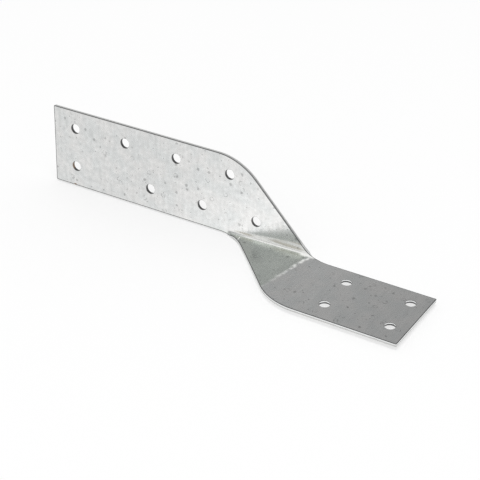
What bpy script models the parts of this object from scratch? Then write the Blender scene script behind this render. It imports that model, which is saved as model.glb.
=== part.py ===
"""Timber connector: a jogged strap of galvanised sheet, punched flat and folded, in metres.

The blank has a leg half and a foot half, joined by a slanted jog. One tight fold across the
jog stands the leg half up as the upright leg. The foot half runs in line with the fold, which
climbs a little from the leg's lower edge. A shallow ridge from the fold's end to the free edge
then brings the foot parallel to the leg.

Flat frame: X along the leg half from its end, Y across it from its lower edge, Z out of the
nailed face. Model frame: X along the strap, Y from the foot's free edge to the upright leg,
Z up from the level foot, with the origin below the middle of the part.
"""

from collections import namedtuple
from math import acos, atan2, ceil, cos, pi, radians, sin, tan

import bmesh
import bpy
from mathutils import Matrix, Vector

PART_NAME = "timber_connector"

# Sheet and strap
SHEET = 0.0015
STRAP_WIDTH = 0.040
FOOT_LENGTH = 0.0626

# Jog between the two halves, and how far the foot half lies clear below the leg half
JOG_ANGLE = radians(45)
JOG_WIDTH_ALONG = 0.0392
FOOT_OFFSET = 0.0004
OUTER_CORNER_RADIUS = 0.030
INNER_CORNER_RADIUS = 0.023

# Nail holes
NAIL_HOLE = 0.005
NAIL_PITCH = 0.0297
STAGGERED_PAIRS = 3
FIRST_ROW = 0.0106
UPRIGHT_END_MARGIN = 0.013
JOG_EDGE_MARGIN = 0.0104
FOOT_COLUMN_SPACING = 0.0311
FOOT_END_MARGIN = 0.0081

# Fold between the leg and the foot half: the height where it starts at the jog's first edge,
# its climb from there, and the run-in over which it grows before it
FOLD_ANGLE = radians(87.3)
FOLD_RADIUS = 0.001
FOLD_HEIGHT = 0.0021
FOLD_CLIMB = radians(2)
NEUTRAL_DEPTH = 0.42
RUN_IN_LENGTH = 0.007
RUN_IN_LEAD = 0.001

# Ridge across the foot half, set back from the end of the jog
RIDGE_SETBACK = 0.0024
RIDGE_SLANT = radians(10)
RIDGE_RADIUS = 0.010

# Fineness of the curved faces
HOLE_SIDES = 32
CORNER_STEP = radians(3.75)
FOLD_STEPS = 12
RIDGE_STEPS = 4
RUN_IN_STEPS = 8

# Derived sizes
ROW_SPACING = STRAP_WIDTH / 2
LAST_UPPER_HOLE = UPRIGHT_END_MARGIN + STAGGERED_PAIRS * NAIL_PITCH
UPPER_HOLE_REACH = JOG_EDGE_MARGIN + (FIRST_ROW + ROW_SPACING) * cos(JOG_ANGLE)
JOG_RUN = STRAP_WIDTH / tan(JOG_ANGLE)
JOG_END = LAST_UPPER_HOLE + UPPER_HOLE_REACH / sin(JOG_ANGLE)
JOG_START = JOG_END - JOG_WIDTH_ALONG
STRAP_LENGTH = JOG_END + FOOT_LENGTH
RUN_IN_START = JOG_START - RUN_IN_LEAD - RUN_IN_LENGTH
TURN_POINT = Vector((JOG_END - RIDGE_SETBACK, 0))

# Angle of the ridge that brings the foot parallel to the leg, and the angle left between them
LEVEL_SPAN = cos(RIDGE_SLANT) * cos(FOLD_CLIMB)
TILTED_SPAN = sin(RIDGE_SLANT) * sin(FOLD_CLIMB) * cos(FOLD_ANGLE)
RIDGE_ANGLE = atan2(sin(FOLD_ANGLE) * sin(FOLD_CLIMB), LEVEL_SPAN + TILTED_SPAN)
FOLD_SHARE = cos(FOLD_ANGLE) * cos(RIDGE_ANGLE)
RIDGE_SHARE = sin(RIDGE_SLANT) * sin(FOLD_ANGLE) * sin(RIDGE_ANGLE)
FOOT_ANGLE = acos(FOLD_SHARE + RIDGE_SHARE)

# A bend turns all that lies beyond a straight line in the flat strap. Its line is given by a
# point and by the direction across it, and its angle is positive towards the nailed face.
Bend = namedtuple("Bend", "start across angle radius steps")
FOLD = Bend(
    start=Vector((JOG_START, FOLD_HEIGHT, 0)),
    across=Vector((sin(FOLD_CLIMB), -cos(FOLD_CLIMB), 0)),
    angle=FOLD_ANGLE,
    radius=FOLD_RADIUS,
    steps=FOLD_STEPS,
)
RIDGE = Bend(
    start=TURN_POINT.to_3d(),
    across=Vector((cos(RIDGE_SLANT - FOLD_CLIMB), -sin(RIDGE_SLANT - FOLD_CLIMB), 0)),
    angle=-RIDGE_ANGLE,
    radius=RIDGE_RADIUS,
    steps=RIDGE_STEPS,
)


def in_foot_half(x, y):
    """Flat place of a point of the foot half, which is turned into line with the fold."""
    from_turn_point = Vector((x, y - FOOT_OFFSET)) - TURN_POINT
    return TURN_POINT + Matrix.Rotation(FOLD_CLIMB, 2) @ from_turn_point


def meeting(point, heading, other_point, other_heading):
    """Where two straight lines cross."""
    reach = (other_point - point).cross(other_heading) / heading.cross(other_heading)
    return point + heading * reach


def rounded_outline(corners):
    """Turn (point, radius) corners into a closed outline with arcs at the rounded corners."""
    outline = []
    for index, (corner, radius) in enumerate(corners):
        before = corners[index - 1][0]
        after = corners[(index + 1) % len(corners)][0]
        if radius == 0:
            outline.append(corner)
            continue
        arriving = (before - corner).normalized()
        leaving = (after - corner).normalized()
        half_angle = acos(arriving.dot(leaving)) / 2
        centre = corner + (arriving + leaving).normalized() * radius / sin(half_angle)
        touch = corner + arriving * radius / tan(half_angle) - centre
        leave = corner + leaving * radius / tan(half_angle) - centre
        sweep = atan2(touch.cross(leave), touch.dot(leave))
        steps = ceil(abs(sweep) / CORNER_STEP)
        for step in range(steps + 1):
            outline.append(centre + Matrix.Rotation(sweep * step / steps, 2) @ touch)
    return outline


def strap_outline():
    """Outline of the flat strap, anticlockwise from the upright leg's lower end corner."""
    leg_edge = Vector((1, 0))
    leg_jog = Vector((cos(JOG_ANGLE), -sin(JOG_ANGLE)))
    foot_edge = Matrix.Rotation(FOLD_CLIMB, 2) @ leg_edge
    foot_jog = Matrix.Rotation(FOLD_CLIMB, 2) @ leg_jog
    jog_start = meeting(Vector((0, 0)), leg_edge, in_foot_half(JOG_START, 0), foot_jog)
    jog_end = meeting(in_foot_half(STRAP_LENGTH, 0), foot_edge, Vector((JOG_END, 0)), leg_jog)
    corners = [
        (Vector((0, 0)), 0),
        (jog_start, INNER_CORNER_RADIUS),
        (in_foot_half(JOG_START + JOG_RUN, -STRAP_WIDTH), OUTER_CORNER_RADIUS),
        (in_foot_half(STRAP_LENGTH, -STRAP_WIDTH), 0),
        (in_foot_half(STRAP_LENGTH, 0), 0),
        (jog_end, INNER_CORNER_RADIUS),
        (Vector((JOG_END - JOG_RUN, STRAP_WIDTH)), OUTER_CORNER_RADIUS),
        (Vector((0, STRAP_WIDTH)), 0),
    ]
    return rounded_outline(corners)


def nail_hole_centres():
    """Centres of the nail holes: two staggered rows in the leg half, a square in the foot half."""
    lower = FIRST_ROW
    upper = FIRST_ROW + ROW_SPACING
    centres = [Vector((UPRIGHT_END_MARGIN, lower)), Vector((UPRIGHT_END_MARGIN, upper))]
    for pair in range(1, STAGGERED_PAIRS + 1):
        along = UPRIGHT_END_MARGIN + pair * NAIL_PITCH
        centres.append(Vector((along, upper)))
        centres.append(Vector((along + NAIL_PITCH / 2, lower)))
    for column in range(2):
        along = STRAP_LENGTH - FOOT_END_MARGIN - column * FOOT_COLUMN_SPACING
        for row in range(1, 3):
            centres.append(in_foot_half(along, FIRST_ROW - row * ROW_SPACING))
    return centres


def add_spline(curve, points):
    """Add a closed straight-sided spline through flat points."""
    spline = curve.splines.new("POLY")
    spline.points.add(len(points) - 1)
    for spline_point, point in zip(spline.points, points):
        spline_point.co = (point.x, point.y, 0, 1)
    spline.use_cyclic_u = True


def punched_strap():
    """Punch the flat strap with its holes and return it as a welded bmesh below z = 0."""
    curve = bpy.data.curves.new("flat_strap", "CURVE")
    curve.dimensions = "2D"
    curve.fill_mode = "BOTH"
    curve.extrude = SHEET / 2
    add_spline(curve, strap_outline())
    for centre in nail_hole_centres():
        ring = []
        for side in range(HOLE_SIDES):
            angle = 2 * pi * side / HOLE_SIDES
            ring.append(centre + Vector((cos(angle), sin(angle))) * NAIL_HOLE / 2)
        add_spline(curve, ring)
    flat = bpy.data.objects.new("flat_strap", curve)
    bpy.context.scene.collection.objects.link(flat)
    graph = bpy.context.evaluated_depsgraph_get()
    flat_mesh = bpy.data.meshes.new_from_object(flat.evaluated_get(graph))
    strap = bmesh.new()
    strap.from_mesh(flat_mesh)
    bmesh.ops.remove_doubles(strap, verts=strap.verts, dist=SHEET / 1000)
    bmesh.ops.translate(strap, verts=strap.verts, vec=(0, 0, -SHEET / 2))
    bpy.data.objects.remove(flat)
    bpy.data.meshes.remove(flat_mesh)
    return strap


def bend_width(bend):
    """Width of the flat zone that a bend rounds."""
    return abs(bend.angle) * (bend.radius + NEUTRAL_DEPTH * SHEET)


def score(strap, point, normal):
    """Cut new edges where a plane crosses the strap beyond the start of the fold's run-in."""
    faces = [face for face in strap.faces if face.calc_center_median().x > RUN_IN_START - SHEET]
    edges = {edge for face in faces for edge in face.edges}
    verts = {vert for face in faces for vert in face.verts}
    geometry = faces + list(edges) + list(verts)
    bmesh.ops.bisect_plane(strap, geom=geometry, dist=SHEET / 1000, plane_co=point, plane_no=normal)


def score_bends(strap):
    """Score the strap along the lines of its bends and across the fold's run-in."""
    for step in range(RUN_IN_STEPS + 1):
        score(strap, (RUN_IN_START + RUN_IN_LENGTH * step / RUN_IN_STEPS, 0, 0), (1, 0, 0))
    for bend in (FOLD, RIDGE):
        for step in range(bend.steps + 1):
            point = bend.start + bend.across * bend_width(bend) * step / bend.steps
            score(strap, point, bend.across)


def run_in_share(x):
    """Share of a bend's angle at a place along the strap, rising smoothly over the run-in."""
    reach = min(max((x - RUN_IN_START) / RUN_IN_LENGTH, 0), 1)
    return reach * reach * (3 - 2 * reach)


def bent(place, flat, bend):
    """Where a bend takes a place, knowing where that place lay in the flat strap."""
    share = run_in_share(flat.x)
    beyond = (flat - bend.start).dot(bend.across)
    if share == 0 or beyond <= 0:
        return place
    rounded = min(beyond, bend_width(bend) * share)
    turned = bend.angle * rounded / bend_width(bend)
    centre = bend.radius if bend.angle > 0 else -SHEET - bend.radius
    across = (place - bend.start).dot(bend.across) - rounded
    level = place.z - centre
    new_across = across * cos(turned) - level * sin(turned)
    new_level = across * sin(turned) + level * cos(turned)
    moved = bend.across * (new_across - across - rounded)
    moved.z = new_level - level
    return place + moved


def fold(strap):
    """Bend the scored strap: the ridge first, then the fold."""
    for vertex in strap.verts:
        flat = vertex.co.copy()
        vertex.co = bent(bent(flat, flat, RIDGE), flat, FOLD)


def settle(strap):
    """Lay the foot level and put the origin below the middle of the part."""
    bmesh.ops.rotate(strap, verts=strap.verts, matrix=Matrix.Rotation(FOOT_ANGLE, 3, "X"))
    corners = [vertex.co for vertex in strap.verts]
    low = Vector([min(corner[axis] for corner in corners) for axis in range(3)])
    high = Vector([max(corner[axis] for corner in corners) for axis in range(3)])
    middle = (low + high) / 2
    bmesh.ops.translate(strap, verts=strap.verts, vec=(-middle.x, -middle.y, -low.z))


def galvanised_steel():
    """Zinc-coated steel, light grey and half matt."""
    material = bpy.data.materials.new("galvanised_steel")
    material.use_nodes = True
    shader = material.node_tree.nodes["Principled BSDF"]
    shader.inputs["Base Color"].default_value = (0.60, 0.62, 0.62, 1)
    shader.inputs["Metallic"].default_value = 1
    shader.inputs["Roughness"].default_value = 0.38
    return material


def build():
    """Build the connector in an emptied scene."""
    for item in list(bpy.data.objects):
        bpy.data.objects.remove(item)
    strap = punched_strap()
    score_bends(strap)
    fold(strap)
    settle(strap)
    bmesh.ops.recalc_face_normals(strap, faces=strap.faces)
    mesh = bpy.data.meshes.new(PART_NAME)
    strap.to_mesh(mesh)
    strap.free()
    mesh.shade_smooth()
    mesh.set_sharp_from_angle(angle=radians(30))
    mesh.materials.append(galvanised_steel())
    collection = bpy.data.collections.new(PART_NAME)
    bpy.context.scene.collection.children.link(collection)
    collection.objects.link(bpy.data.objects.new(PART_NAME, mesh))


build()
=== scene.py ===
"""Looks of the timber connector: its sheared, punch-holed and folded galvanised sheet, in metres.

The strap is drawn flat with the sizes of the part's source, given real sheared edges, and
then bent as the source bends it. Flat frame: X along the leg half from its end, Y across it
from its lower edge, Z out of the nailed face.
"""

from collections import namedtuple
from math import acos, atan2, ceil, cos, pi, radians, sin, tan

import bmesh
import bpy
from mathutils import Matrix, Vector, noise


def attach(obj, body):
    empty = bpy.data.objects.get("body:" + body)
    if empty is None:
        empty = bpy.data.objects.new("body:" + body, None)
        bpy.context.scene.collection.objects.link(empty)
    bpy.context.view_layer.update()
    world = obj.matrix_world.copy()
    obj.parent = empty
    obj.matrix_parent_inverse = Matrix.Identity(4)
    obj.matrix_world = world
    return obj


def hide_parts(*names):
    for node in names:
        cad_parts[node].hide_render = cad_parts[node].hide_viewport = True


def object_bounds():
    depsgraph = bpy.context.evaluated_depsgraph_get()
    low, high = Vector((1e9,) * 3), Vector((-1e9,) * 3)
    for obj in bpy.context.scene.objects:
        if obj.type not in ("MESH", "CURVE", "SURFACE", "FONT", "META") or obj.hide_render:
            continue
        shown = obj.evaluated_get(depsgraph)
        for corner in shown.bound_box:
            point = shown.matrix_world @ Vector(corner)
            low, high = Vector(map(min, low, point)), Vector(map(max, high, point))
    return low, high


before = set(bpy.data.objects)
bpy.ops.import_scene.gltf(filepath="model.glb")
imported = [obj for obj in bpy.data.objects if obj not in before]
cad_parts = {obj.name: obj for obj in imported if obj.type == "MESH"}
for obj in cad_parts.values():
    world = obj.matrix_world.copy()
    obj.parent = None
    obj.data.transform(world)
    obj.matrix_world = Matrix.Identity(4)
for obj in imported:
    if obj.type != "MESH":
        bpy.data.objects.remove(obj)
cad_low, cad_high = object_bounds()

# Sheet and strap
SHEET = 0.0015
STRAP_WIDTH = 0.040
FOOT_LENGTH = 0.0626

# Jog between the two halves, and how far the foot half lies clear below the leg half
JOG_ANGLE = radians(45)
JOG_WIDTH_ALONG = 0.0392
FOOT_OFFSET = 0.0004
OUTER_CORNER_RADIUS = 0.030
INNER_CORNER_RADIUS = 0.023
END_CORNER_RADIUS = 0.0005

# Nail holes
NAIL_HOLE = 0.005
NAIL_PITCH = 0.0297
STAGGERED_PAIRS = 3
FIRST_ROW = 0.0106
UPRIGHT_END_MARGIN = 0.013
JOG_EDGE_MARGIN = 0.0104
FOOT_COLUMN_SPACING = 0.0311
FOOT_END_MARGIN = 0.0081

# Fold between the leg and the foot half: the height where it starts at the jog's first edge,
# its climb from there, and the run-in over which it grows before it
FOLD_ANGLE = radians(87.3)
FOLD_RADIUS = 0.001
FOLD_HEIGHT = 0.0021
FOLD_CLIMB = radians(2)
NEUTRAL_DEPTH = 0.42
RUN_IN_LENGTH = 0.007
RUN_IN_LEAD = 0.001

# Ridge across the foot half, set back from the end of the jog
RIDGE_SETBACK = 0.0024
RIDGE_SLANT = radians(10)
RIDGE_RADIUS = 0.010

# Cut edge: dulled on the nailed face, rolled over, smoothly sheared, then torn at the back
DULLED_WIDTH = 0.00033
EDGE_ROLL = 0.00013
ROLL_SHADE_DEPTH = 0.000195
SHEARED_DEPTH = 0.0007
TORN_INSET = 0.00006
TORN_RAGGEDNESS = 0.0007
BURR = 0.00005

# Lead-in above the fold, where the sheet already leans forward a little
LEAD_ANGLE = radians(12)
LEAD_START_WIDTH = 0.0013
LEAD_END_WIDTH = 0.0045
LEAD_FADE = 0.014

# Waviness of the sheet
WAVE_HEIGHT = 0.00007
WAVE_LENGTH = 0.032

# Fineness
HOLE_SIDES = 64
CORNER_STEP = radians(2)
END_CORNER_STEPS = 4
ROLL_STEPS = 4
FOLD_STEPS = 24
RIDGE_STEPS = 4
RUN_IN_STEPS = 18
LEAD_STEPS = 6
GRID_PITCH = 0.005
SCORE_TOLERANCE = SHEET / 1000
SHARP_ANGLE = radians(50)

# Patterns in the zinc: how large they are and how much they change its tone
NOISE_MIDDLE = 0.5
MOTTLE_SIZE = 0.009
MOTTLE_DETAIL = 3
MOTTLE_DEPTH = 0.20
MOTTLE_WARM_RANGE = (0.35, 0.65)
GRAIN_SIZE = 0.0022
GRAIN_DEPTH = 0.34
GRAIN_GLOSS_RANGE = (0.3, 0.7)
STREAK_WIDTH = 0.0014
STREAK_STRETCH = 0.12
STREAK_DEPTH = 0.18
SPANGLE_SIZE = 0.004
SPANGLE_DEPTH = 0.03

# Relief of the zinc, and how deep the flecks sit in it
RELIEF_SIZE = 0.0012
RELIEF_DETAIL = 3
RELIEF_HEIGHT = 0.00001
FLECK_RELIEF = 0.5

# Painted light in the zinc's tone: brighter up to the jog, where the leg reflects the floor; darker
# towards the foot's end
DRIFT_START = 0.05
JOG_PAINTED_LIGHT = 0.06
END_DARKENING = 0.15

# Dark flecks as (pitch, radius, chance), and broken rings
FLECK_KINDS = ((0.0060, 0.0010, 0.6), (0.0042, 0.0005, 0.35), (0.0031, 0.00045, 0.4))
FLECK_SOFTNESS = 0.5
FLECK_WOBBLE = 0.0012
FLECK_DEPTH = 0.34
RING_PITCH = 0.009
RING_CHANCE = 0.4
RING_RADIUS = 0.0010
RING_LINE = 0.00035
RING_BREAK_SIZE = 0.0020
RING_BREAK_RANGE = (0.44, 0.54)

# Painted sheen on the strip above the fold, a pale matt band streaked with darker brown, and painted
# shade from fold to ridge, darker and greener
STRIP_SOFTNESS = 0.0010
BROWN_STREAK_WIDTH = 0.0011
BROWN_STREAK_STRETCH = 0.07
BROWN_STREAK_RANGE = (0.48, 0.62)
SHADED_FACET_SOFTNESS = 0.0010

# White marks and painted highlights: patches along the ridge's press mark, partly painted highlight; a
# painted highlight along the fold's crease and a blob at its end; a scratch
MARK_CORE = 1 / 3
RIDGE_MARK_START_WIDTH = 0.0034
RIDGE_MARK_END_WIDTH = 0.0024
RIDGE_MARK_END_SHARE = 0.1
RIDGE_MARK_PLACE = 0.0013
RIDGE_MARK_FADE = 0.0015
RIDGE_WANDER = 0.0015
RIDGE_WANDER_LENGTH = 0.005
RIDGE_PATCH_LENGTH = 0.0022
RIDGE_PATCH_RANGE = (0.38, 0.60)
RIDGE_PATCH_LEAST = 0.2
CREASE_WIDTH = 0.0016
CREASE_FADE = 0.005
BLOB_START = (0.1430, 0.0020)
BLOB_END = (0.1475, 0.0021)
BLOB_WIDTH = 0.0056
SCRATCH_START = (0.1096, -0.0008)
SCRATCH_END = (0.1104, -0.0051)
SCRATCH_WIDTH = 0.0006

# Stains: on the lower edge, and in the wall of the lower end hole
EDGE_STAIN_START = (0.0114, 0.0005)
EDGE_STAIN_END = (0.0122, 0.0005)
EDGE_STAIN_WIDTH = 0.0010
WALL_STAIN_START = (0.0103, 0.0110)
WALL_STAIN_END = (0.0106, 0.0095)
WALL_STAIN_WIDTH = 0.0030

# Colours, and the value of the cut mark from which a place is all steel
ZINC = (0.815, 0.830, 0.825, 1)
WARM_ZINC = (0.830, 0.828, 0.818, 1)
# Painted shade: darker, greener zinc where the facet between fold and ridge reflects the leg
SHADED_FACET_ZINC = (0.725, 0.765, 0.725, 1)
# Painted sheen: pale matt zinc for the bright reflection on the lead-in above the fold
SHEEN_STRIP_ZINC = (0.88, 0.88, 0.86, 1)
BROWN_STREAK_ZINC = (0.60, 0.58, 0.525, 1)
# Painted highlight white, also the white of the ridge's press mark and of the scratch
WHITE_HIGHLIGHT_AND_MARK = (0.90, 0.90, 0.88, 1)
ROLLED_STEEL = (0.16, 0.16, 0.16, 1)
SHEARED_STEEL = (0.74, 0.75, 0.75, 1)
TORN_STEEL = (0.58, 0.58, 0.57, 1)
# Painted shade: the near black of the nail holes' walls
HOLE_SHADE_STEEL = (0.08, 0.08, 0.08, 1)
STAIN = (0.30, 0.22, 0.16, 1)
FULL_CUT = 0.5

# Walls of the nail holes, painted with shade: dark all through in the leg, and only where torn in the
# foot
LEG_HOLE_SHADE = 1
FOOT_HOLE_SHADE = 0.5
HOLE_SHADE_SHARE = 0.95

# Roughness, and how much of each kind of place looks matt instead of metallic
SMOOTHEST = 0.22
ROUGHEST = 0.31
SHEARED_ROUGHNESS = 0.26
TORN_ROUGHNESS = 0.5
SHEEN_STRIP_MATT = 0.8
HIGHLIGHT_AND_MARK_MATT = 0.9
SHEARED_MATT = 0.2
TORN_MATT = 0.7

# Floor: its glow in the camera, and the bright pool around the part that the metal reflects
FLOOR_SIZE = 6
FLOOR_PAINT = (0.96, 0.96, 0.96, 1)
FLOOR_GLOW = 0.5
POOL_CENTRE = (0.07, -0.01, 0)
POOL_RADIUS = 0.145
POOL_TONE = 1.17
POOL_EDGE_TONE = 0.84

# Studio walls that the metal reflects, as (elevation, tone), and where they blend
FRONT_TONES = ((0, 0.95), (10, 0.76), (22, 0.42), (40, 0.40), (52, 0.60), (66, 0.85))
BACK_LEFT_TONES = ((0, 0.95), (9, 0.84), (18, 0.42), (25, 0.35), (40, 0.345), (52, 0.55), (66, 0.85))
BACK_RIGHT_TONES = ((0, 0.60), (9, 0.45), (18, 0.25), (25, 0.22), (40, 0.30), (52, 0.55), (66, 0.85))
LEFT_TO_RIGHT = (-0.1, 0.4)
FRONT_TO_BACK = (-0.3, 0.3)

# Light: even from all around, and a softbox overhead
EVEN_LIGHT = 0.7
SOFTBOX_PLACE = (0.1, -0.25, 2.1)
SOFTBOX_TARGET = (0, 0, 0)
SOFTBOX_SIZE = 1.0
SOFTBOX_POWER = 16

# Camera, read from the photograph's perspective
CAMERA_PLACE = (0.28837, -0.43537, 0.32322)
CAMERA_TURN = (radians(58.873), radians(0.149), radians(31.983))
CAMERA_LENS = 100.64

# Sockets by which a Mix node blends colours
COLOUR_SHARE = 0
FIRST_COLOUR = 6
SECOND_COLOUR = 7
BLENDED_COLOUR = 2

# Derived sizes
ROW_SPACING = STRAP_WIDTH / 2
LAST_UPPER_HOLE = UPRIGHT_END_MARGIN + STAGGERED_PAIRS * NAIL_PITCH
UPPER_HOLE_REACH = JOG_EDGE_MARGIN + (FIRST_ROW + ROW_SPACING) * cos(JOG_ANGLE)
JOG_RUN = STRAP_WIDTH / tan(JOG_ANGLE)
JOG_END = LAST_UPPER_HOLE + UPPER_HOLE_REACH / sin(JOG_ANGLE)
JOG_START = JOG_END - JOG_WIDTH_ALONG
STRAP_LENGTH = JOG_END + FOOT_LENGTH
RUN_IN_START = JOG_START - RUN_IN_LEAD - RUN_IN_LENGTH
TURN_POINT = Vector((JOG_END - RIDGE_SETBACK, 0))

# Angle of the ridge that brings the foot parallel to the leg, and the angle left between them
LEVEL_SPAN = cos(RIDGE_SLANT) * cos(FOLD_CLIMB)
TILTED_SPAN = sin(RIDGE_SLANT) * sin(FOLD_CLIMB) * cos(FOLD_ANGLE)
RIDGE_ANGLE = atan2(sin(FOLD_ANGLE) * sin(FOLD_CLIMB), LEVEL_SPAN + TILTED_SPAN)
FOLD_SHARE = cos(FOLD_ANGLE) * cos(RIDGE_ANGLE)
RIDGE_SHARE = sin(RIDGE_SLANT) * sin(FOLD_ANGLE) * sin(RIDGE_ANGLE)
FOOT_ANGLE = acos(FOLD_SHARE + RIDGE_SHARE)

# A bend turns all that lies beyond a straight line in the flat strap. Its line is given by a
# point and by the direction across it, and its angle is positive towards the nailed face.
Bend = namedtuple("Bend", "start across angle radius steps")
FOLD = Bend(
    start=Vector((JOG_START, FOLD_HEIGHT, 0)),
    across=Vector((sin(FOLD_CLIMB), -cos(FOLD_CLIMB), 0)),
    angle=FOLD_ANGLE,
    radius=FOLD_RADIUS,
    steps=FOLD_STEPS,
)
FOLD_LINE = Vector((cos(FOLD_CLIMB), sin(FOLD_CLIMB), 0))
RIDGE = Bend(
    start=TURN_POINT.to_3d(),
    across=Vector((cos(RIDGE_SLANT - FOLD_CLIMB), -sin(RIDGE_SLANT - FOLD_CLIMB), 0)),
    angle=-RIDGE_ANGLE,
    radius=RIDGE_RADIUS,
    steps=RIDGE_STEPS,
)


def in_foot_half(x, y):
    """Flat place of a point of the foot half, which is turned into line with the fold."""
    from_turn_point = Vector((x, y - FOOT_OFFSET)) - TURN_POINT
    return TURN_POINT + Matrix.Rotation(FOLD_CLIMB, 2) @ from_turn_point


def meeting(point, heading, other_point, other_heading):
    """Where two straight lines cross."""
    reach = (other_point - point).cross(other_heading) / heading.cross(other_heading)
    return point + heading * reach


def rounded_outline(corners):
    """Turn (point, radius) corners into a closed outline with arcs."""
    outline = []
    for index, (corner, radius) in enumerate(corners):
        before = corners[index - 1][0]
        after = corners[(index + 1) % len(corners)][0]
        arriving = (before - corner).normalized()
        leaving = (after - corner).normalized()
        half_angle = acos(arriving.dot(leaving)) / 2
        centre = corner + (arriving + leaving).normalized() * radius / sin(half_angle)
        touch = corner + arriving * radius / tan(half_angle) - centre
        leave = corner + leaving * radius / tan(half_angle) - centre
        sweep = atan2(touch.cross(leave), touch.dot(leave))
        steps = ceil(abs(sweep) / CORNER_STEP) if radius > END_CORNER_RADIUS else END_CORNER_STEPS
        for step in range(steps + 1):
            outline.append(centre + Matrix.Rotation(sweep * step / steps, 2) @ touch)
    return outline


def strap_outline():
    """Outline of the flat strap, anticlockwise from the upright leg's lower end corner."""
    leg_edge = Vector((1, 0))
    leg_jog = Vector((cos(JOG_ANGLE), -sin(JOG_ANGLE)))
    foot_edge = Matrix.Rotation(FOLD_CLIMB, 2) @ leg_edge
    foot_jog = Matrix.Rotation(FOLD_CLIMB, 2) @ leg_jog
    jog_start = meeting(Vector((0, 0)), leg_edge, in_foot_half(JOG_START, 0), foot_jog)
    jog_end = meeting(in_foot_half(STRAP_LENGTH, 0), foot_edge, Vector((JOG_END, 0)), leg_jog)
    corners = [
        (Vector((0, 0)), END_CORNER_RADIUS),
        (jog_start, INNER_CORNER_RADIUS),
        (in_foot_half(JOG_START + JOG_RUN, -STRAP_WIDTH), OUTER_CORNER_RADIUS),
        (in_foot_half(STRAP_LENGTH, -STRAP_WIDTH), END_CORNER_RADIUS),
        (in_foot_half(STRAP_LENGTH, 0), END_CORNER_RADIUS),
        (jog_end, INNER_CORNER_RADIUS),
        (Vector((JOG_END - JOG_RUN, STRAP_WIDTH)), OUTER_CORNER_RADIUS),
        (Vector((0, STRAP_WIDTH)), END_CORNER_RADIUS),
    ]
    return rounded_outline(corners)


def nail_hole_centres():
    """Centres of the nail holes: two staggered rows in the leg half, a square in the foot half."""
    lower = FIRST_ROW
    upper = FIRST_ROW + ROW_SPACING
    centres = [Vector((UPRIGHT_END_MARGIN, lower)), Vector((UPRIGHT_END_MARGIN, upper))]
    for pair in range(1, STAGGERED_PAIRS + 1):
        along = UPRIGHT_END_MARGIN + pair * NAIL_PITCH
        centres.append(Vector((along, upper)))
        centres.append(Vector((along + NAIL_PITCH / 2, lower)))
    for column in range(2):
        along = STRAP_LENGTH - FOOT_END_MARGIN - column * FOOT_COLUMN_SPACING
        for row in range(1, 3):
            centres.append(in_foot_half(along, FIRST_ROW - row * ROW_SPACING))
    return centres


def nail_hole_loop(centre):
    """Points around a nail hole, clockwise, so that the sheet lies on their left."""
    loop = []
    for side in range(HOLE_SIDES):
        angle = -2 * pi * side / HOLE_SIDES
        loop.append(centre + Vector((cos(angle), sin(angle))) * NAIL_HOLE / 2)
    return loop


def sheared_profile():
    """Inset and depth of a cut edge, from the nailed face to the back."""
    profile = [(EDGE_ROLL + DULLED_WIDTH, 0)]
    for step in range(ROLL_STEPS + 1):
        angle = pi / 2 * step / ROLL_STEPS
        profile.append((EDGE_ROLL * (1 - sin(angle)), EDGE_ROLL * (1 - cos(angle))))
    profile.append((0, SHEARED_DEPTH))
    profile.append((TORN_INSET, SHEARED_DEPTH + TORN_INSET))
    profile.append((TORN_INSET, SHEET - BURR))
    profile.append((TORN_INSET + BURR, SHEET))
    return profile


def add_rim(blank, loop, wall_shade):
    """Raise a sheared edge, with the painted shade of its wall, on a closed loop of points.

    The sheet lies on the loop's left. The rims on the nailed face and on the back are returned.
    """
    cut_layer = blank.verts.layers.float["cut"]
    wall_shade_layer = blank.verts.layers.float["wall_shade"]
    rings = []
    for inset, depth in sheared_profile():
        ring = []
        for index, point in enumerate(loop):
            before = (point - loop[index - 1]).normalized()
            after = (loop[(index + 1) % len(loop)] - point).normalized()
            inward = (before + after).normalized().orthogonal()
            vertex = blank.verts.new((point + inward * inset).to_3d() + Vector((0, 0, -depth)))
            vertex[cut_layer] = 1
            vertex[wall_shade_layer] = wall_shade
            ring.append(vertex)
        rings.append(ring)

    # Both rims keep their zinc, and a hole has no dulled band beside its rim
    coated = rings[0] + rings[-1]
    if wall_shade > 0:
        coated += rings[1]
    for vertex in coated:
        vertex[cut_layer] = 0
    for upper, lower in zip(rings, rings[1:]):
        for index in range(len(loop)):
            blank.faces.new((upper[index - 1], upper[index], lower[index], lower[index - 1]))
    return rings[0], rings[-1]


def rim_edges(ring):
    """Edges along a ring of vertices."""
    edges = []
    for index, vertex in enumerate(ring):
        other = ring[index - 1]
        edges.append(next(edge for edge in vertex.link_edges if edge.other_vert(vertex) == other))
    return edges


def flat_blank():
    """Flat strap with sheared rims, its nailed face at z = 0 and its back at minus the sheet."""
    blank = bmesh.new()
    blank.verts.layers.float.new("cut")
    blank.verts.layers.float.new("wall_shade")
    loops = [(strap_outline(), 0)]
    for centre in nail_hole_centres():
        wall_shade = LEG_HOLE_SHADE if centre.x < JOG_END else FOOT_HOLE_SHADE
        loops.append((nail_hole_loop(centre), wall_shade))
    face_edges = []
    back_edges = []
    for loop, wall_shade in loops:
        face_ring, back_ring = add_rim(blank, loop, wall_shade)
        face_edges += rim_edges(face_ring)
        back_edges += rim_edges(back_ring)
    bmesh.ops.triangle_fill(blank, edges=face_edges, use_beauty=True, normal=(0, 0, 1))
    bmesh.ops.triangle_fill(blank, edges=back_edges, use_beauty=True, normal=(0, 0, -1))
    return blank


def bend_width(bend):
    """Width of the flat zone that a bend rounds."""
    return abs(bend.angle) * (bend.radius + NEUTRAL_DEPTH * SHEET)


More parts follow.
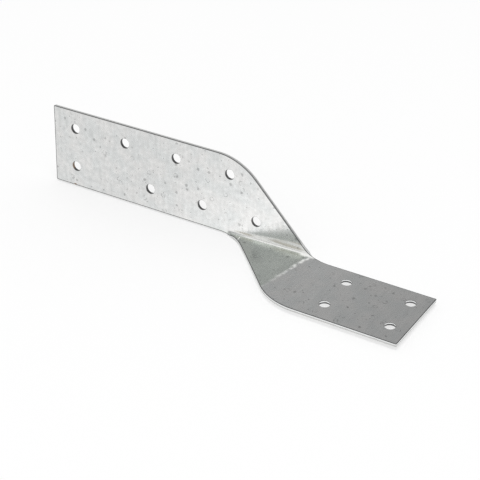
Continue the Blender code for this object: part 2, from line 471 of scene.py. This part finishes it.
def score(strap, point, normal, low=0):
    """Cut new edges where a plane crosses the faces from a low place to the strap's length."""
    faces = [face for face in strap.faces if low < face.calc_center_median().x < STRAP_LENGTH]
    edges = {edge for face in faces for edge in face.edges}
    verts = {vert for face in faces for vert in face.verts}
    bmesh.ops.bisect_plane(
        strap,
        geom=faces + list(edges) + list(verts),
        dist=SCORE_TOLERANCE,
        plane_co=point,
        plane_no=normal,
    )


def score_strap(strap):
    """Cut the strap into a coarse grid, along the lines of its bends and across the run-in."""
    for step in range(1, int(STRAP_LENGTH / GRID_PITCH)):
        score(strap, (step * GRID_PITCH, 0, 0), (1, 0, 0))
    rows = int(STRAP_WIDTH / GRID_PITCH)
    for step in range(1 - rows, rows):
        score(strap, (0, step * GRID_PITCH, 0), (0, 1, 0))
    low = RUN_IN_START - SHEET
    for step in range(RUN_IN_STEPS + 1):
        run = RUN_IN_LENGTH * step / RUN_IN_STEPS
        score(strap, (RUN_IN_START + run, 0, 0), (1, 0, 0), low)
    for bend in (FOLD, RIDGE):
        for step in range(bend.steps + 1):
            point = bend.start + bend.across * bend_width(bend) * step / bend.steps
            score(strap, point, bend.across, low)
    for step in range(1, LEAD_STEPS + 1):
        share = step / LEAD_STEPS
        widening = (LEAD_END_WIDTH - LEAD_START_WIDTH) / JOG_WIDTH_ALONG * share
        start = FOLD.start - FOLD.across * LEAD_START_WIDTH * share
        score(strap, start, FOLD.across + FOLD_LINE * widening, low)


def clamped(value):
    """A value kept from zero to one."""
    return min(max(value, 0), 1)


def eased(value):
    """A value kept from zero to one, with a soft start and end."""
    share = clamped(value)
    return share * share * (3 - 2 * share)


def run_in_share(x):
    """Share of a bend's angle at a place along the strap, rising smoothly over the run-in."""
    return eased((x - RUN_IN_START) / RUN_IN_LENGTH)


def bent(place, flat, bend):
    """Where a bend takes a place, knowing where that place lay in the flat strap."""
    share = run_in_share(flat.x)
    beyond = (flat - bend.start).dot(bend.across)
    if share == 0 or beyond <= 0:
        return place
    rounded = min(beyond, bend_width(bend) * share)
    turned = bend.angle * rounded / bend_width(bend)
    centre = bend.radius if bend.angle > 0 else -SHEET - bend.radius
    across = (place - bend.start).dot(bend.across) - rounded
    level = place.z - centre
    new_across = across * cos(turned) - level * sin(turned)
    new_level = across * sin(turned) + level * cos(turned)
    moved = bend.across * (new_across - across - rounded)
    moved.z = new_level - level
    return place + moved


def lead_in(flat):
    """How far the sheet leans forward around the fold, at a place in the flat strap."""
    along = clamped((flat.x - JOG_START) / JOG_WIDTH_ALONG)
    width = LEAD_START_WIDTH + (LEAD_END_WIDTH - LEAD_START_WIDTH) * along
    beyond = (flat - FOLD.start).dot(FOLD.across)
    slope = tan(LEAD_ANGLE) * run_in_share(flat.x)
    rising = clamped(beyond / width + 1)
    folding = clamped(beyond / bend_width(FOLD))
    lean = rising * rising * width / 2 + (folding - folding * folding / 2) * bend_width(FOLD)
    return slope * lean * eased(1 - (beyond - bend_width(FOLD)) / LEAD_FADE)


def fold(strap):
    """Bend the slightly wavy strap at its ridge, then at its fold, and lay its foot flat."""
    forward = FOLD.across * cos(FOLD_ANGLE) + Vector((0, 0, sin(FOLD_ANGLE)))
    for vertex in strap.verts:
        flat = vertex.co.copy()
        wave = noise.noise(Vector((flat.x, flat.y, 0)) / WAVE_LENGTH)
        wavy = flat + Vector((0, 0, WAVE_HEIGHT * wave))
        folded = bent(bent(wavy, flat, RIDGE), flat, FOLD)
        vertex.co = folded + forward * lead_in(flat)
    bmesh.ops.rotate(strap, verts=strap.verts, matrix=Matrix.Rotation(FOOT_ANGLE, 3, "X"))


def seat_on_cad(strap):
    """Put the strap where the CAD node is: same middle, same bottom."""
    corners = [vertex.co for vertex in strap.verts]
    low = Vector([min(corner[axis] for corner in corners) for axis in range(3)])
    high = Vector([max(corner[axis] for corner in corners) for axis in range(3)])
    shift = (cad_low + cad_high - low - high) / 2
    shift.z = cad_low.z - low.z
    bmesh.ops.translate(strap, verts=strap.verts, vec=shift)


def add_object(name, data):
    """Put an object into the scene."""
    holder = bpy.data.objects.new(name, data)
    bpy.context.scene.collection.objects.link(holder)
    return holder


def make_strap():
    """The dressed strap as one object, with its flat coordinates kept for the finish."""
    strap = flat_blank()
    score_strap(strap)
    flat_layer = strap.verts.layers.float_vector.new("flat")
    for vertex in strap.verts:
        vertex[flat_layer] = vertex.co
    fold(strap)
    seat_on_cad(strap)
    bmesh.ops.recalc_face_normals(strap, faces=strap.faces)
    mesh = bpy.data.meshes.new("connector_strap")
    strap.to_mesh(mesh)
    strap.free()
    mesh.shade_smooth()
    mesh.set_sharp_from_angle(angle=SHARP_ANGLE)
    piece = add_object("connector_strap", mesh)
    weighted = piece.modifiers.new("weighted_normals", "WEIGHTED_NORMAL")
    weighted.keep_sharp = True
    return piece


def wire(tree, kind, inputs, output=0, **settings):
    """Add a node, set or link its inputs, and return one of its outputs."""
    node = tree.nodes.new(kind)
    for name, value in settings.items():
        setattr(node, name, value)
    for name, value in inputs.items():
        if isinstance(value, bpy.types.NodeSocket):
            tree.links.new(value, node.inputs[name])
        else:
            node.inputs[name].default_value = value
    return node.outputs[output]


def attribute(tree, name, output="Fac"):
    """A value that the mesh keeps at its vertices."""
    return wire(tree, "ShaderNodeAttribute", {}, output, attribute_name=name)


def coordinate(tree, place, axis):
    """One coordinate of a place or direction."""
    return wire(tree, "ShaderNodeSeparateXYZ", {"Vector": place}, axis)


def calc(tree, operation, first, second=0.0):
    """One calculation on two values."""
    return wire(tree, "ShaderNodeMath", {0: first, 1: second}, operation=operation)


def vector(tree, operation, first, second, output="Vector"):
    """One calculation on two vectors."""
    return wire(tree, "ShaderNodeVectorMath", {0: first, 1: second}, output, operation=operation)


def scaled(tree, first, factor):
    """A vector or colour times a value."""
    return wire(tree, "ShaderNodeVectorMath", {0: first, "Scale": factor}, operation="SCALE")


def ramp(tree, value, start, end, low=0.0, high=1.0, kind="SMOOTHSTEP"):
    """Change from low to high while a value goes from start to end, smooth unless told otherwise."""
    inputs = {"Value": value, "From Min": start, "From Max": end, "To Min": low, "To Max": high}
    return wire(tree, "ShaderNodeMapRange", inputs, interpolation_type=kind)


def between(tree, share, first, second):
    """Value between two values."""
    return wire(tree, "ShaderNodeMapRange", {"Value": share, "To Min": first, "To Max": second})


def blend(tree, share, first, second):
    """Colour between two colours."""
    inputs = {COLOUR_SHARE: share, FIRST_COLOUR: first, SECOND_COLOUR: second}
    return wire(tree, "ShaderNodeMix", inputs, BLENDED_COLOUR, data_type="RGBA")


def cloud(tree, place, size, detail=2, output="Fac"):
    """Noise with lumps of about a size."""
    inputs = {"Vector": place, "Scale": 1 / size, "Detail": detail}
    return wire(tree, "ShaderNodeTexNoise", inputs, output)


def swing(tree, pattern, size):
    """A noise pattern made to swing around zero by about a size."""
    return calc(tree, "MULTIPLY", calc(tree, "SUBTRACT", pattern, NOISE_MIDDLE), size)


def cells(tree, place, size):
    """Distance to the middle of cells of about a size, in cell sizes."""
    inputs = {"Vector": place, "Scale": 1 / size}
    return wire(tree, "ShaderNodeTexVoronoi", inputs, "Distance", voronoi_dimensions="2D")


def dice(tree, distance):
    """A random value for each of the cells that a distance was taken in."""
    return wire(tree, "ShaderNodeSeparateColor", {"Color": distance.node.outputs["Color"]}, "Red")


def beyond_line(tree, place, bend):
    """Flat distance past a bend's line."""
    across = vector(tree, "DOT_PRODUCT", place, bend.across, "Value")
    return calc(tree, "SUBTRACT", across, bend.start.dot(bend.across))


def line_share(tree, distance, width):
    """One in the core of a line, fading to nothing at half its width."""
    return ramp(tree, distance, width / 2, width / 2 * MARK_CORE)


def mark(tree, place, start, end, width):
    """Share of a line between two flat points."""
    line = Vector(end).to_3d() - Vector(start).to_3d()
    offset = vector(tree, "SUBTRACT", place, Vector(start).to_3d())
    offset = vector(tree, "MULTIPLY", offset, (1, 1, 0))
    along = vector(tree, "DOT_PRODUCT", offset, line / line.length_squared, "Value")
    along = wire(tree, "ShaderNodeClamp", {"Value": along})
    distance = vector(tree, "DISTANCE", offset, scaled(tree, line, along), "Value")
    return line_share(tree, distance, width)


def fleck_share(tree, place):
    """Share of the dark flecks and broken rings in the zinc."""
    noise_colour = cloud(tree, place, FLECK_WOBBLE, detail=1, output="Color")
    wobble = vector(tree, "SUBTRACT", noise_colour, (NOISE_MIDDLE, NOISE_MIDDLE, NOISE_MIDDLE))
    wobble = vector(tree, "MULTIPLY", wobble, (FLECK_WOBBLE, FLECK_WOBBLE, 0))
    shaken = vector(tree, "ADD", place, wobble)
    flecks = 0.0
    for pitch, radius, chance in FLECK_KINDS:
        distance = cells(tree, shaken, pitch)
        size = ramp(tree, dice(tree, distance), chance, 0, 0, radius / pitch)
        inside = calc(tree, "SUBTRACT", size, distance)
        spot = ramp(tree, inside, 0, radius / pitch * FLECK_SOFTNESS)
        flecks = calc(tree, "MAXIMUM", flecks, spot)
    distance = cells(tree, vector(tree, "ADD", shaken, (RING_PITCH, 0, 0)), RING_PITCH)
    drawn = calc(tree, "LESS_THAN", dice(tree, distance), RING_CHANCE)
    off_ring = calc(tree, "ABSOLUTE", calc(tree, "SUBTRACT", distance, RING_RADIUS / RING_PITCH))
    ring = ramp(tree, off_ring, RING_LINE / RING_PITCH, 0)
    broken = ramp(tree, cloud(tree, place, RING_BREAK_SIZE), *RING_BREAK_RANGE)
    ring = calc(tree, "MULTIPLY", calc(tree, "MULTIPLY", ring, broken), drawn)
    return calc(tree, "MAXIMUM", flecks, ring)


def sheen_strip_share(tree, place):
    """Share of the painted sheen strip, a pale matt band on the lead-in above the fold."""
    along = coordinate(tree, place, "X")
    started = ramp(tree, along, RUN_IN_START + RUN_IN_LENGTH / 2, JOG_START)
    fold_reach = beyond_line(tree, place, FOLD)
    width = ramp(tree, along, JOG_START, JOG_END, LEAD_START_WIDTH, LEAD_END_WIDTH, "LINEAR")
    above = ramp(tree, calc(tree, "ADD", fold_reach, width), 0, STRIP_SOFTNESS)
    below = ramp(tree, fold_reach, bend_width(FOLD) / 2, 0)
    return calc(tree, "MULTIPLY", calc(tree, "MULTIPLY", above, below), started)


def past_ridge_mark(tree, place):
    """Flat distance past the middle of the marks along the ridge."""
    return calc(tree, "SUBTRACT", beyond_line(tree, place, RIDGE), RIDGE_MARK_PLACE)


def shaded_facet_share(tree, place):
    """Share of the painted shade, darker and greener zinc, between the fold and the ridge."""
    below_fold = ramp(tree, beyond_line(tree, place, FOLD), 0, bend_width(FOLD))
    ridge_reach = past_ridge_mark(tree, place)
    before_ridge = ramp(tree, ridge_reach, SHADED_FACET_SOFTNESS, -SHADED_FACET_SOFTNESS)
    return calc(tree, "MULTIPLY", below_fold, before_ridge)


def ridge_mark_and_highlight_share(tree, place):
    """Share of the white patches along the ridge: its press mark, partly a painted highlight."""
    wander = swing(tree, cloud(tree, place, RIDGE_WANDER_LENGTH), RIDGE_WANDER)
    off_ridge = calc(tree, "ADD", past_ridge_mark(tree, place), wander)
    off_ridge = calc(tree, "ABSOLUTE", off_ridge)
    fold_reach = beyond_line(tree, place, FOLD)
    half = ramp(tree, fold_reach, 0, STRAP_WIDTH, RIDGE_MARK_START_WIDTH / 2, RIDGE_MARK_END_WIDTH / 2)
    ridge = ramp(tree, calc(tree, "DIVIDE", off_ridge, half), 1, 0)
    patches = cloud(tree, place, RIDGE_PATCH_LENGTH)
    patchy = ramp(tree, patches, *RIDGE_PATCH_RANGE, RIDGE_PATCH_LEAST, 1)
    fading = ramp(tree, fold_reach, STRAP_WIDTH, 0, RIDGE_MARK_END_SHARE, 1)
    below_fold = ramp(tree, fold_reach, bend_width(FOLD), bend_width(FOLD) + RIDGE_MARK_FADE)
    for factor in (patchy, fading, below_fold):
        ridge = calc(tree, "MULTIPLY", ridge, factor)
    return ridge


def crease_highlight_share(tree, place):
    """Share of the white line along the fold, a painted highlight in its crease."""
    fold_reach = beyond_line(tree, place, FOLD)
    off_crease = calc(tree, "ABSOLUTE", calc(tree, "SUBTRACT", fold_reach, bend_width(FOLD) / 2))
    started = ramp(tree, coordinate(tree, place, "X"), JOG_START, JOG_START + CREASE_FADE)
    return calc(tree, "MULTIPLY", line_share(tree, off_crease, CREASE_WIDTH), started)


def highlights_and_marks_share(tree, place):
    """Share of the white: painted highlight along the ridge's press mark, the fold and a blob at its
    end, and the scratch.
    """
    white = calc(tree, "MAXIMUM", ridge_mark_and_highlight_share(tree, place), crease_highlight_share(tree, place))
    highlight_blob = mark(tree, place, BLOB_START, BLOB_END, BLOB_WIDTH)
    scratch = mark(tree, place, SCRATCH_START, SCRATCH_END, SCRATCH_WIDTH)
    return calc(tree, "MAXIMUM", white, calc(tree, "MAXIMUM", highlight_blob, scratch))


def zinc_tone(tree, place, mottle, grain, flecks):
    """How light the zinc is from place to place, around 1."""
    streaked = vector(tree, "MULTIPLY", place, (1, STREAK_STRETCH, 1))
    streaks = cloud(tree, streaked, STREAK_WIDTH)
    spangle = dice(tree, cells(tree, place, SPANGLE_SIZE))
    tone = 1.0
    for pattern, depth in (
        (mottle, MOTTLE_DEPTH),
        (grain, GRAIN_DEPTH),
        (streaks, STREAK_DEPTH),
        (spangle, SPANGLE_DEPTH),
    ):
        tone = calc(tree, "ADD", swing(tree, pattern, depth), tone)
    along = coordinate(tree, place, "X")
    # Painted light: brighter towards the jog, where the leg reflects the floor
    brighter = ramp(tree, along, DRIFT_START, JOG_START, 0, JOG_PAINTED_LIGHT)
    darker_end = ramp(tree, along, JOG_END, STRAP_LENGTH, 0, END_DARKENING)
    tone = calc(tree, "SUBTRACT", calc(tree, "ADD", tone, brighter), darker_end)
    return calc(tree, "SUBTRACT", tone, calc(tree, "MULTIPLY", flecks, FLECK_DEPTH))


def zinc_colour(tree, place, mottle, tone, strip, white):
    """Colour of the zinc: cool and warm, with painted shade from fold to ridge, a painted sheen strip
    streaked with darker brown, and painted highlights and white marks on top.
    """
    zinc = blend(tree, ramp(tree, mottle, *MOTTLE_WARM_RANGE), ZINC, WARM_ZINC)
    # Painted shade between the fold and the ridge
    zinc = blend(tree, shaded_facet_share(tree, place), zinc, SHADED_FACET_ZINC)
    # Painted sheen on the strip above the fold, streaked with darker brown
    brown_streaks = cloud(tree, vector(tree, "MULTIPLY", place, (BROWN_STREAK_STRETCH, 1, 1)), BROWN_STREAK_WIDTH)
    sheen_strip_colour = blend(tree, ramp(tree, brown_streaks, *BROWN_STREAK_RANGE), SHEEN_STRIP_ZINC, BROWN_STREAK_ZINC)
    zinc = blend(tree, strip, zinc, sheen_strip_colour)
    # Painted highlights and white marks on top of the zinc
    return blend(tree, white, scaled(tree, zinc, tone), WHITE_HIGHLIGHT_AND_MARK)


def steel_colour(tree, place, torn, rolled, hole_shade):
    """Colour of the cut edge: sheared or torn, dark where rolled over, painted with shade in the nail
    holes, and stained.
    """
    steel = blend(tree, torn, SHEARED_STEEL, TORN_STEEL)
    steel = blend(tree, rolled, steel, ROLLED_STEEL)
    steel = blend(tree, hole_shade, steel, HOLE_SHADE_STEEL)
    wall_stain = mark(tree, place, WALL_STAIN_START, WALL_STAIN_END, WALL_STAIN_WIDTH)
    return blend(tree, wall_stain, steel, STAIN)


def galvanised_finish():
    """Mottled and flecked zinc with painted highlights, sheen and shade at its bends, and sheared and
    torn steel where cut, painted with shade in the nail holes.
    """
    material = bpy.data.materials.new("galvanised_steel")
    material.use_nodes = True
    tree = material.node_tree
    shader = tree.nodes["Principled BSDF"]
    place = attribute(tree, "flat", "Vector")
    mottle = cloud(tree, place, MOTTLE_SIZE, MOTTLE_DETAIL)
    grain = cloud(tree, place, GRAIN_SIZE)
    flecks = fleck_share(tree, place)
    strip = sheen_strip_share(tree, place)
    white = highlights_and_marks_share(tree, place)

    cut = ramp(tree, attribute(tree, "cut"), 0, FULL_CUT)
    depth = coordinate(tree, place, "Z")
    ragged = calc(tree, "ADD", depth, swing(tree, grain, TORN_RAGGEDNESS))
    torn = ramp(tree, ragged, -SHEARED_DEPTH, -SHEARED_DEPTH - TORN_INSET)
    rolled = ramp(tree, depth, -ROLL_SHADE_DEPTH, -EDGE_ROLL)
    # Painted shade in the nail holes' walls: all through in the leg, and only where torn in the foot
    torn_wall_shade = calc(tree, "MULTIPLY", torn, LEG_HOLE_SHADE - FOOT_HOLE_SHADE)
    wall_shade = calc(tree, "ADD", attribute(tree, "wall_shade"), torn_wall_shade)
    hole_shade = ramp(tree, wall_shade, FOOT_HOLE_SHADE, LEG_HOLE_SHADE, 0, HOLE_SHADE_SHARE)

    tone = zinc_tone(tree, place, mottle, grain, flecks)
    zinc = zinc_colour(tree, place, mottle, tone, strip, white)
    colour = blend(tree, cut, zinc, steel_colour(tree, place, torn, rolled, hole_shade))
    edge_stain = mark(tree, place, EDGE_STAIN_START, EDGE_STAIN_END, EDGE_STAIN_WIDTH)
    tree.links.new(blend(tree, edge_stain, colour, STAIN), shader.inputs["Base Color"])

    zinc_rough = ramp(tree, grain, *GRAIN_GLOSS_RANGE, ROUGHEST, SMOOTHEST)
    uneven = calc(tree, "MAXIMUM", torn, rolled)
    cut_rough = ramp(tree, uneven, 0, 1, SHEARED_ROUGHNESS, TORN_ROUGHNESS)
    tree.links.new(between(tree, cut, zinc_rough, cut_rough), shader.inputs["Roughness"])

    sheen_strip_matt = calc(tree, "MULTIPLY", strip, SHEEN_STRIP_MATT)
    # The painted highlights look matt white
    highlight_and_mark_matt = calc(tree, "MULTIPLY", white, HIGHLIGHT_AND_MARK_MATT)
    torn_matt = calc(tree, "MULTIPLY", calc(tree, "SUBTRACT", torn, hole_shade), TORN_MATT)
    cut_matt = calc(tree, "MULTIPLY", cut, calc(tree, "MAXIMUM", torn_matt, SHEARED_MATT))
    matt = calc(tree, "MAXIMUM", calc(tree, "MAXIMUM", sheen_strip_matt, highlight_and_mark_matt), cut_matt)
    tree.links.new(calc(tree, "SUBTRACT", 1, matt), shader.inputs["Metallic"])

    sunken = calc(tree, "MULTIPLY", flecks, FLECK_RELIEF)
    relief = calc(tree, "SUBTRACT", cloud(tree, place, RELIEF_SIZE, RELIEF_DETAIL), sunken)
    bump = wire(tree, "ShaderNodeBump", {"Height": relief, "Strength": 1, "Distance": RELIEF_HEIGHT})
    tree.links.new(bump, shader.inputs["Normal"])
    return material


def seen_share(tree, path):
    """One for rays from the camera, also through glass."""
    return calc(tree, "MAXIMUM", path.outputs["Is Camera Ray"], path.outputs["Is Transmission Ray"])


def floor_finish():
    """White floor that keeps a light shadow, and shows as a bright pool in the metal."""
    paint = bpy.data.materials.new("floor_paint")
    paint.use_nodes = True
    tree = paint.node_tree
    shader = tree.nodes["Principled BSDF"]
    shader.inputs["Base Color"].default_value = FLOOR_PAINT
    shader.inputs["Roughness"].default_value = 1
    shader.inputs["Specular IOR Level"].default_value = 0
    path = tree.nodes.new("ShaderNodeLightPath")
    reflected = path.outputs["Is Glossy Ray"]
    place = wire(tree, "ShaderNodeTexCoord", {}, "Object")
    away = vector(tree, "DISTANCE", place, POOL_CENTRE, "Value")
    pool = ramp(tree, away, 0, POOL_RADIUS, POOL_TONE, POOL_EDGE_TONE)
    glow = wire(tree, "ShaderNodeEmission", {"Strength": between(tree, reflected, 1, pool)})
    seen_glow = calc(tree, "MULTIPLY", seen_share(tree, path), FLOOR_GLOW)
    share = calc(tree, "MAXIMUM", seen_glow, reflected)
    surface = wire(tree, "ShaderNodeMixShader", {0: share, 1: shader.outputs["BSDF"], 2: glow})
    tree.links.new(surface, tree.nodes["Material Output"].inputs["Surface"])
    return paint


def add_stage():
    """Plain white floor."""
    mesh = bpy.data.meshes.new("floor")
    half = FLOOR_SIZE / 2
    corners = [(-half, -half, 0), (half, -half, 0), (half, half, 0), (-half, half, 0)]
    mesh.from_pydata(corners, [], [(0, 1, 2, 3)])
    mesh.materials.append(floor_finish())
    floor = add_object("floor", mesh)


def tones_by_elevation(tree, height, tones):
    """Grey that changes with the elevation of a direction, given as (degrees, tone)."""
    grey = wire(tree, "ShaderNodeValToRGB", {"Fac": height}, "Color")
    stops = grey.node.color_ramp.elements
    halfway = 0.5
    while len(stops) < len(tones):
        stops.new(halfway)
    for stop, (elevation, tone) in zip(stops, tones):
        stop.position = sin(radians(elevation))
        stop.color = (tone, tone, tone, 1)
    return grey


def add_world():
    """White background and even light, and for reflections a studio with greyer walls."""
    world = bpy.data.worlds.new("studio")
    bpy.context.scene.world = world
    world.use_nodes = True
    tree = world.node_tree
    path = tree.nodes.new("ShaderNodeLightPath")
    strength = between(tree, seen_share(tree, path), EVEN_LIGHT, 1)
    even = wire(tree, "ShaderNodeBackground", {"Color": (1, 1, 1, 1), "Strength": strength})
    heading = wire(tree, "ShaderNodeTexCoord", {}, "Generated")
    height = coordinate(tree, heading, "Z")
    front = tones_by_elevation(tree, height, FRONT_TONES)
    left = tones_by_elevation(tree, height, BACK_LEFT_TONES)
    right = tones_by_elevation(tree, height, BACK_RIGHT_TONES)
    back = blend(tree, ramp(tree, coordinate(tree, heading, "X"), *LEFT_TO_RIGHT), left, right)
    walls = blend(tree, ramp(tree, coordinate(tree, heading, "Y"), *FRONT_TO_BACK), front, back)
    studio = wire(tree, "ShaderNodeBackground", {"Color": walls, "Strength": 1})
    reflected = path.outputs["Is Glossy Ray"]
    both = wire(tree, "ShaderNodeMixShader", {0: reflected, 1: even, 2: studio})
    tree.links.new(both, tree.nodes["World Output"].inputs["Surface"])


def add_softbox():
    """Square softbox above the part, which lights it and isn't reflected in it."""
    lamp = bpy.data.lights.new("top_softbox", "AREA")
    lamp.size = SOFTBOX_SIZE
    lamp.energy = SOFTBOX_POWER
    holder = add_object("top_softbox", lamp)
    holder.visible_glossy = False
    holder.location = SOFTBOX_PLACE
    aim = Vector(SOFTBOX_TARGET) - Vector(SOFTBOX_PLACE)
    holder.rotation_euler = aim.to_track_quat("-Z", "Y").to_euler()


def add_camera():
    """Camera at the photograph's place."""
    lens = bpy.data.cameras.new("camera")
    lens.lens = CAMERA_LENS
    holder = add_object("camera", lens)
    holder.location = CAMERA_PLACE
    holder.rotation_euler = CAMERA_TURN
    bpy.context.scene.camera = holder


strap = make_strap()
strap.data.materials.append(galvanised_finish())
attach(strap, "root")
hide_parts("timber_connector")

add_stage()
add_world()
add_softbox()
add_camera()
bpy.context.scene.view_settings.view_transform = "Standard"
